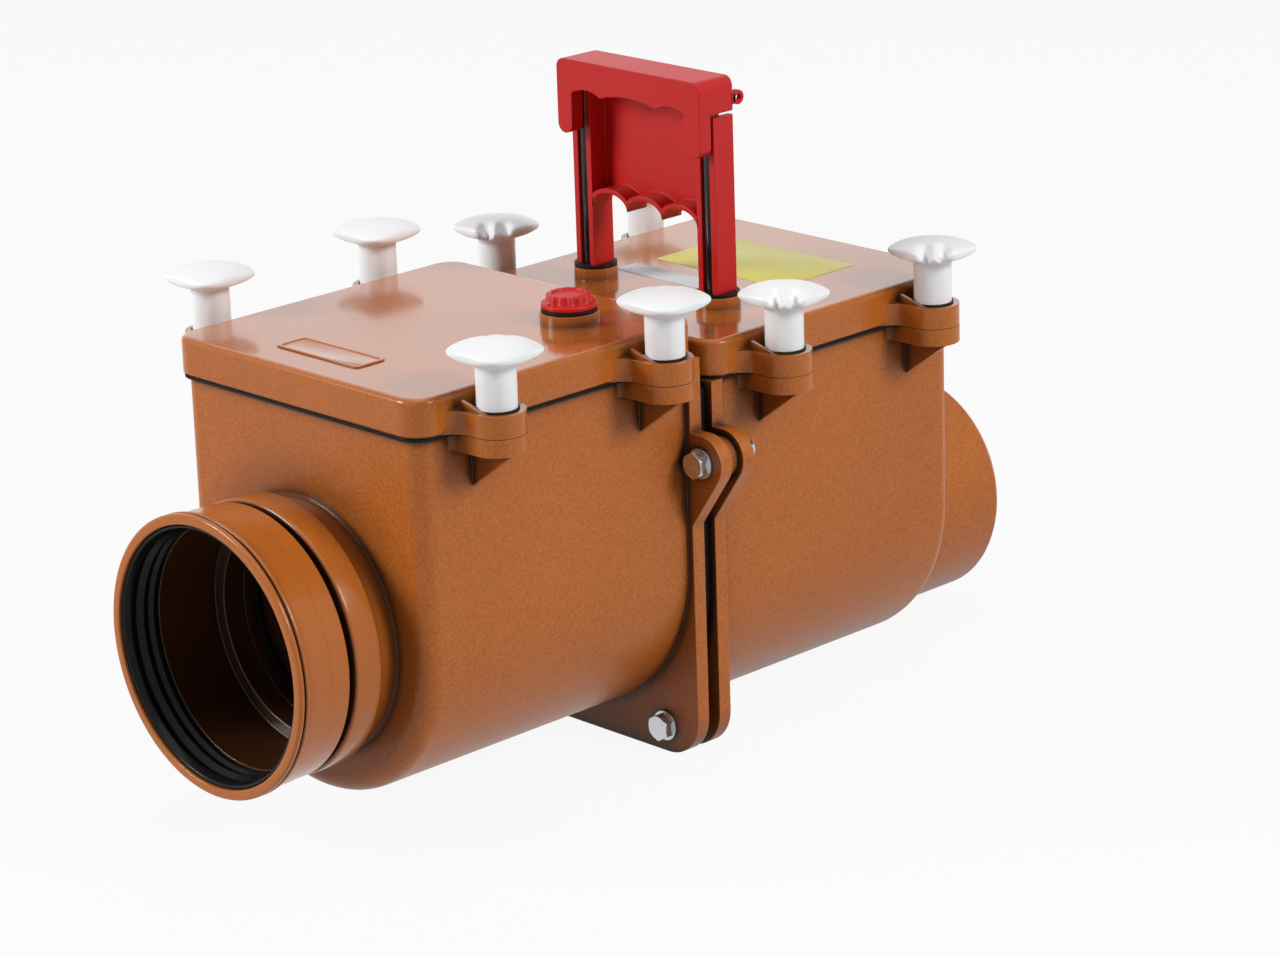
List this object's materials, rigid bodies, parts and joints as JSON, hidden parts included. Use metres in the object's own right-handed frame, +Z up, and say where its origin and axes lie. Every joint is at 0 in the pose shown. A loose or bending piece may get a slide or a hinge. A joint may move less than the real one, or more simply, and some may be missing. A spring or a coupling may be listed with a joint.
{
  "type": "backwater valve",
  "caption": "Inline drain backwater valve with two lidded chambers, hanging flaps, turn clamps and a push-down locking handle.",
  "frame": {"origin": "centre of the inlet socket's mouth, on the pipe axis", "axes": "+X along the flow from socket to spigot, +Z up towards the lids"},
  "size_m": [0.518, 0.254, 0.3435],
  "materials": {
    "orange_plastic": "satin moulded plastic with a fine grain",
    "black_rubber": "matt rubber",
    "white_plastic": "satin moulded plastic",
    "red_plastic": "satin moulded plastic",
    "zinc_steel": "bright zinc plating"
  },
  "bodies": {
    "root": {"inlet_chamber": "orange_plastic", "outlet_chamber": "orange_plastic", "outlet_spigot": "orange_plastic", "inlet_socket": "orange_plastic", "socket_seal": "black_rubber", "chamber_gasket": "black_rubber", "flange_bolts": "zinc_steel", "flange_washers": "zinc_steel", "flange_nuts": "zinc_steel", "inlet_seat": "orange_plastic", "outlet_seat": "orange_plastic", "inlet_hinge_pin": "zinc_steel", "outlet_hinge_pin": "zinc_steel"},
    "inlet_lid": {"inlet_lid": "orange_plastic", "inlet_lid_gasket": "black_rubber"},
    "outlet_lid": {"outlet_lid": "orange_plastic", "outlet_lid_gasket": "black_rubber", "handle_wipers": "black_rubber"},
    "inlet_clamp_1": {"inlet_clamp_1": "white_plastic"},
    "inlet_clamp_2": {"inlet_clamp_2": "white_plastic"},
    "inlet_clamp_3": {"inlet_clamp_3": "white_plastic"},
    "inlet_clamp_4": {"inlet_clamp_4": "white_plastic"},
    "outlet_clamp_1": {"outlet_clamp_1": "white_plastic"},
    "outlet_clamp_2": {"outlet_clamp_2": "white_plastic"},
    "outlet_clamp_3": {"outlet_clamp_3": "white_plastic"},
    "outlet_clamp_4": {"outlet_clamp_4": "white_plastic"},
    "test_seal": {"test_cap_seal": "black_rubber"},
    "test_cap": {"test_cap": "red_plastic"},
    "handle": {"lock_handle": "red_plastic", "lock_shoes": "white_plastic"},
    "inlet_flap": {"inlet_flap": "orange_plastic", "inlet_flap_seal": "black_rubber"},
    "outlet_flap": {"outlet_flap": "orange_plastic", "outlet_flap_seal": "black_rubber"}
  },
  "joints": [
    {"name": "inlet_lid_lift", "type": "slide", "parent": "root", "child": "inlet_lid", "axis": [0, 0, 1], "range_m": [0, 0.08]},
    {"name": "outlet_lid_lift", "type": "slide", "parent": "root", "child": "outlet_lid", "axis": [0, 0, 1], "range_m": [0, 0.08]},
    {"name": "inlet_clamp_1_turn", "type": "hinge", "parent": "inlet_lid", "child": "inlet_clamp_1", "pos_m": [0.102, -0.1075, 0.12], "axis": [0, 0, 1], "range_deg": [0, 90]},
    {"name": "inlet_clamp_2_turn", "type": "hinge", "parent": "inlet_lid", "child": "inlet_clamp_2", "pos_m": [0.102, 0.1075, 0.12], "axis": [0, 0, 1], "range_deg": [0, 90]},
    {"name": "inlet_clamp_3_turn", "type": "hinge", "parent": "inlet_lid", "child": "inlet_clamp_3", "pos_m": [0.215, -0.1075, 0.12], "axis": [0, 0, 1], "range_deg": [0, 90]},
    {"name": "inlet_clamp_4_turn", "type": "hinge", "parent": "inlet_lid", "child": "inlet_clamp_4", "pos_m": [0.215, 0.1075, 0.12], "axis": [0, 0, 1], "range_deg": [0, 90]},
    {"name": "outlet_clamp_1_turn", "type": "hinge", "parent": "outlet_lid", "child": "outlet_clamp_1", "pos_m": [0.3, -0.1075, 0.12], "axis": [0, 0, 1], "range_deg": [0, 90]},
    {"name": "outlet_clamp_2_turn", "type": "hinge", "parent": "outlet_lid", "child": "outlet_clamp_2", "pos_m": [0.3, 0.1075, 0.12], "axis": [0, 0, 1], "range_deg": [0, 90]},
    {"name": "outlet_clamp_3_turn", "type": "hinge", "parent": "outlet_lid", "child": "outlet_clamp_3", "pos_m": [0.413, -0.1075, 0.12], "axis": [0, 0, 1], "range_deg": [0, 90]},
    {"name": "outlet_clamp_4_turn", "type": "hinge", "parent": "outlet_lid", "child": "outlet_clamp_4", "pos_m": [0.413, 0.1075, 0.12], "axis": [0, 0, 1], "range_deg": [0, 90]},
    {"name": "inlet_flap_swing", "type": "hinge", "parent": "root", "child": "inlet_flap", "pos_m": [0.0833, 0, 0.073], "axis": [0, -1, 0], "range_deg": [0, 70]},
    {"name": "outlet_flap_swing", "type": "hinge", "parent": "root", "child": "outlet_flap", "pos_m": [0.2818, 0, 0.055], "axis": [0, -1, 0], "range_deg": [0, 70]},
    {"name": "handle_lock", "type": "slide", "parent": "outlet_lid", "child": "handle", "axis": [0, 0, 1], "range_m": [-0.034, 0]},
    {"name": "test_cap_lift", "type": "slide", "parent": "inlet_lid", "child": "test_seal", "axis": [0, 0, 1], "range_m": [0, 0.01]},
    {"name": "test_cap_turn", "type": "hinge", "parent": "test_seal", "child": "test_cap", "pos_m": [0.2085, -0.046, 0.14], "axis": [0, 0, 1], "range_deg": [0, 900]}
  ],
  "couplings": [
    {"joint": "test_cap_turn", "follows": "test_cap_lift", "rad_per_m": 1570.8}
  ]
}
